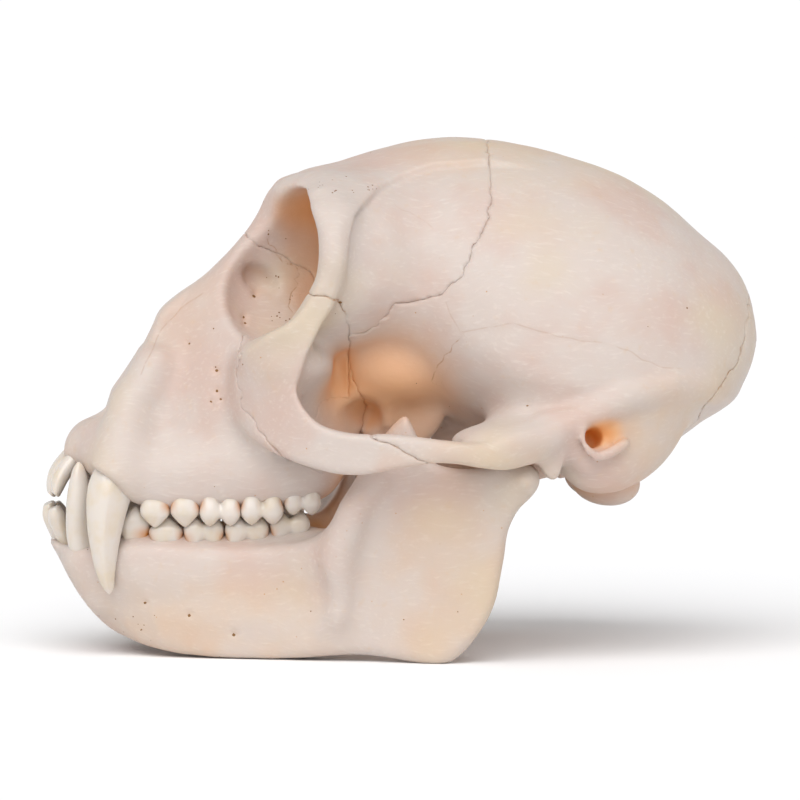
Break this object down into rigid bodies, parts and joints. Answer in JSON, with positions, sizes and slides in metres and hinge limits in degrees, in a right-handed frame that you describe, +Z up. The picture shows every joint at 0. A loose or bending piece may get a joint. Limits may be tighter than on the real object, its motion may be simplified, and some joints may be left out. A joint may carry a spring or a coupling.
{
  "type": "monkey skull",
  "caption": "Life-size monkey skull with its lower jaw and long canine teeth, lying on its jaw with the teeth closed.",
  "frame": {"origin": "on the floor, under the middle of the skull's length and width", "axes": "+X towards the back of the head, -X towards the muzzle, +Y towards the animal's right side, +Z up"},
  "size_m": [0.1102, 0.0708, 0.0785],
  "materials": {
    "bone": "dry cleaned bone, warm ivory, matt with a faint sheen"
  },
  "bodies": {
    "root": {"forehead": "bone", "braincase": "bone", "occiput": "bone", "face": "bone", "cheekbone_left": "bone", "cheekbone_right": "bone", "lower_jaw": "bone"}
  },
  "joints": []
}
